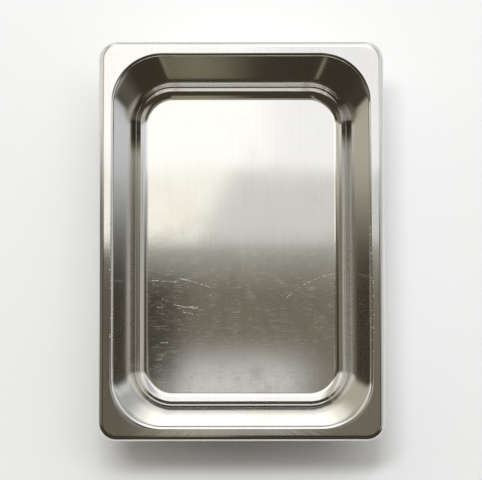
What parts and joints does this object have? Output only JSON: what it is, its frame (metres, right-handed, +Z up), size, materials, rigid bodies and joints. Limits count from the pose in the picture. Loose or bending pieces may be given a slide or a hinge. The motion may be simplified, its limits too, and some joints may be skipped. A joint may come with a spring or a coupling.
{
  "type": "deli food pan",
  "caption": "Rectangular deep-drawn stainless steel food pan with a flat turned-down rim, drafted walls and rounded corners.",
  "frame": {"origin": "middle of the underside of the base, on the surface that the pan stands on", "axes": "+Z up out of the mouth, +Y along the long side, +X along the short side"},
  "size_m": [0.254, 0.355, 0.1008],
  "materials": {
    "stainless": "satin brushed stainless steel, lightly scratched from use"
  },
  "bodies": {
    "root": {"pan": "stainless"}
  },
  "joints": []
}
